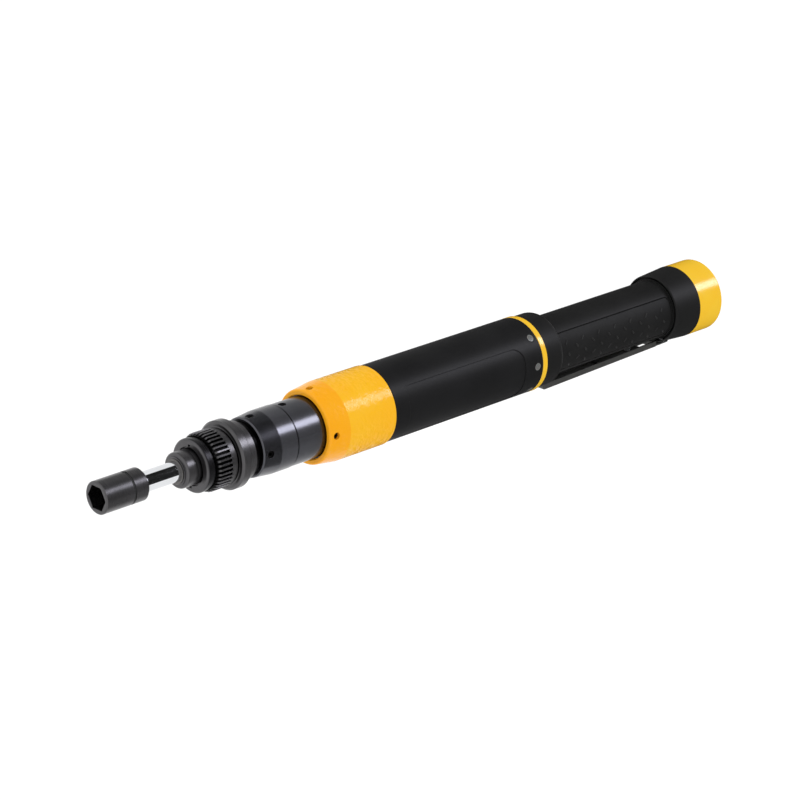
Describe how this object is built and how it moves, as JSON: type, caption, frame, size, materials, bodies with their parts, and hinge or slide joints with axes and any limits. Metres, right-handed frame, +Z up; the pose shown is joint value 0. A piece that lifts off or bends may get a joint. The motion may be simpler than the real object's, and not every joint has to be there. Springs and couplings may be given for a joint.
{
  "type": "inline electric nutrunner",
  "caption": "Inline electric nutrunner: hex socket on a sprung chrome rod, reaction spline and flange, planetary gear case, motor body, grip with start lever and cable receptacle in the tail.",
  "frame": {"origin": "on the tool's axis at the front face of the reaction flange", "axes": "+X along the axis from the socket to the cable receptacle, +Z up, start lever on the -Z side"},
  "size_m": [0.4776, 0.047, 0.0491],
  "materials": {
    "black_oxide_steel": "satin",
    "chrome_steel": "polished",
    "bright_steel": "ground",
    "gunmetal": "satin",
    "amber_plastic": "gloss",
    "black_plastic": "satin",
    "black_rubber": "matte",
    "lens_plastic": "gloss",
    "copper_wire": "enamelled",
    "circuit_board": "matte",
    "machined_aluminium": "machined",
    "gold_contact": "plated"
  },
  "bodies": {
    "tool_body": {"bearing_circlip": "bright_steel", "cap_set_screws": "black_oxide_steel", "case_set_screws": "black_oxide_steel", "connector_insert": "black_plastic", "connector_pins": "gold_contact", "connector_screws": "bright_steel", "connector_shell": "machined_aluminium", "control_board": "circuit_board", "front_bearing": "bright_steel", "front_cap": "amber_plastic", "gear_case_front": "gunmetal", "gear_case_rear": "gunmetal", "grip_panels": "black_rubber", "handle_collar": "black_plastic", "handle_shell": "black_plastic", "indicator_board": "circuit_board", "indicator_lenses": "lens_plastic", "indicator_ring": "amber_plastic", "lever_pin": "bright_steel", "lever_spring": "bright_steel", "motor_front_bearing": "bright_steel", "motor_front_plate": "machined_aluminium", "motor_housing": "black_plastic", "motor_rear_bearing": "bright_steel", "motor_rear_plate": "machined_aluminium", "nose_housing": "black_oxide_steel", "rear_bearing": "bright_steel", "resolver_stator": "copper_wire", "retaining_ring": "black_oxide_steel", "ring_gear": "bright_steel", "stator_coils": "copper_wire", "stator_core": "bright_steel", "switch_body": "black_plastic", "tail_cap": "amber_plastic", "tail_flare": "black_plastic", "torque_transducer": "machined_aluminium", "transducer_screws": "bright_steel"},
    "spindle": {"output_spindle": "bright_steel", "nose_collar": "black_oxide_steel", "rod_wiper": "black_oxide_steel", "bearing_spacer": "bright_steel", "planet_pins_two": "bright_steel", "float_spring": "bright_steel"},
    "floating_drive": {"drive_rod": "chrome_steel", "socket": "black_oxide_steel", "socket_pin": "bright_steel", "socket_o_ring": "black_rubber"},
    "carrier": {"carrier_one": "bright_steel", "planet_pins_one": "bright_steel"},
    "rotor": {"rotor_shaft": "bright_steel", "rotor_magnets": "bright_steel", "resolver_rotor": "bright_steel"},
    "lever": {"start_lever": "gunmetal"},
    "plunger": {"switch_plunger": "black_plastic"},
    "planet_two_a": {"planet_two_a": "bright_steel"},
    "planet_two_b": {"planet_two_b": "bright_steel"},
    "planet_two_c": {"planet_two_c": "bright_steel"},
    "planet_one_a": {"planet_one_a": "bright_steel"},
    "planet_one_b": {"planet_one_b": "bright_steel"},
    "planet_one_c": {"planet_one_c": "bright_steel"}
  },
  "joints": [
    {"name": "rotor_spin", "type": "hinge", "parent": "tool_body", "child": "rotor", "pos_m": [0, 0, 0], "axis": [1, 0, 0], "continuous": true},
    {"name": "carrier_spin", "type": "hinge", "parent": "tool_body", "child": "carrier", "pos_m": [0, 0, 0], "axis": [1, 0, 0], "continuous": true},
    {"name": "spindle_spin", "type": "hinge", "parent": "tool_body", "child": "spindle", "pos_m": [0, 0, 0], "axis": [1, 0, 0], "continuous": true},
    {"name": "planet_one_a_spin", "type": "hinge", "parent": "carrier", "child": "planet_one_a", "pos_m": [0.035, 0.009, 0], "axis": [1, 0, 0], "continuous": true},
    {"name": "planet_one_b_spin", "type": "hinge", "parent": "carrier", "child": "planet_one_b", "pos_m": [0.035, -0.0045, 0.00779], "axis": [1, 0, 0], "continuous": true},
    {"name": "planet_one_c_spin", "type": "hinge", "parent": "carrier", "child": "planet_one_c", "pos_m": [0.035, -0.0045, -0.00779], "axis": [1, 0, 0], "continuous": true},
    {"name": "planet_two_a_spin", "type": "hinge", "parent": "spindle", "child": "planet_two_a", "pos_m": [0.035, 0.009, 0], "axis": [1, 0, 0], "continuous": true},
    {"name": "planet_two_b_spin", "type": "hinge", "parent": "spindle", "child": "planet_two_b", "pos_m": [0.035, -0.0045, 0.00779], "axis": [1, 0, 0], "continuous": true},
    {"name": "planet_two_c_spin", "type": "hinge", "parent": "spindle", "child": "planet_two_c", "pos_m": [0.035, -0.0045, -0.00779], "axis": [1, 0, 0], "continuous": true},
    {"name": "rod_float", "type": "slide", "parent": "spindle", "child": "floating_drive", "axis": [1, 0, 0], "range_m": [0, 0.012], "stiffness_N_per_m": 400, "springref_m": -0.02, "deforming": ["float_spring"]},
    {"name": "lever_press", "type": "hinge", "parent": "tool_body", "child": "lever", "pos_m": [0.354, 0, -0.0186], "axis": [0, 1, 0], "range_deg": [0, 1.5], "stiffness_Nm_per_rad": 5, "springref_deg": -5.73, "deforming": ["lever_spring"]},
    {"name": "plunger_slide", "type": "slide", "parent": "tool_body", "child": "plunger", "axis": [0, 0, 1], "range_m": [0, 0.0015]}
  ],
  "couplings": [
    {"joint": "carrier_spin", "follows": "rotor_spin", "ratio": 0.25},
    {"joint": "spindle_spin", "follows": "rotor_spin", "ratio": 0.0625},
    {"joint": "planet_one_a_spin", "follows": "rotor_spin", "ratio": -0.75},
    {"joint": "planet_one_b_spin", "follows": "rotor_spin", "ratio": -0.75},
    {"joint": "planet_one_c_spin", "follows": "rotor_spin", "ratio": -0.75},
    {"joint": "planet_two_a_spin", "follows": "rotor_spin", "ratio": -0.1875},
    {"joint": "planet_two_b_spin", "follows": "rotor_spin", "ratio": -0.1875},
    {"joint": "planet_two_c_spin", "follows": "rotor_spin", "ratio": -0.1875},
    {"joint": "plunger_slide", "follows": "lever_press", "m_per_rad": 0.054}
  ]
}
